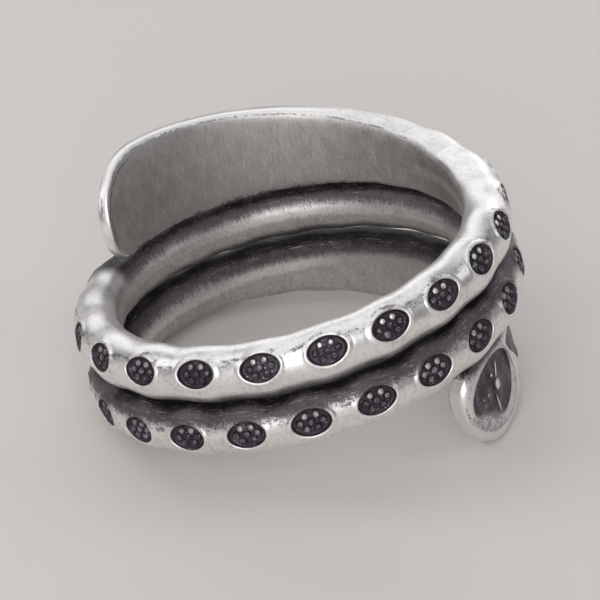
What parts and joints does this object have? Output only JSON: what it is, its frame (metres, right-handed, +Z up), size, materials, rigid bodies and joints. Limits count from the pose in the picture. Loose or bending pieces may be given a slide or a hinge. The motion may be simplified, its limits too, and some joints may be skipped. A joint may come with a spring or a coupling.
{
  "type": "wrap ring",
  "caption": "Silver wrap ring: round wire wound in a helix round the finger, ends flattened into leaves, outside punched with beaded ovals.",
  "frame": {"origin": "centre of the bounding box's footprint, on the surface the ring lies on", "axes": "+Z up from that surface; the finger axis leans 11.5 degrees from +Z, toward the back left; the lower leaf's tip is at the front right"},
  "size_m": [0.022, 0.0222, 0.011],
  "materials": {
    "silver": "satin silver, polished ridges, blackened recesses and gaps"
  },
  "bodies": {
    "root": {"wrap_band": "silver"}
  },
  "joints": []
}
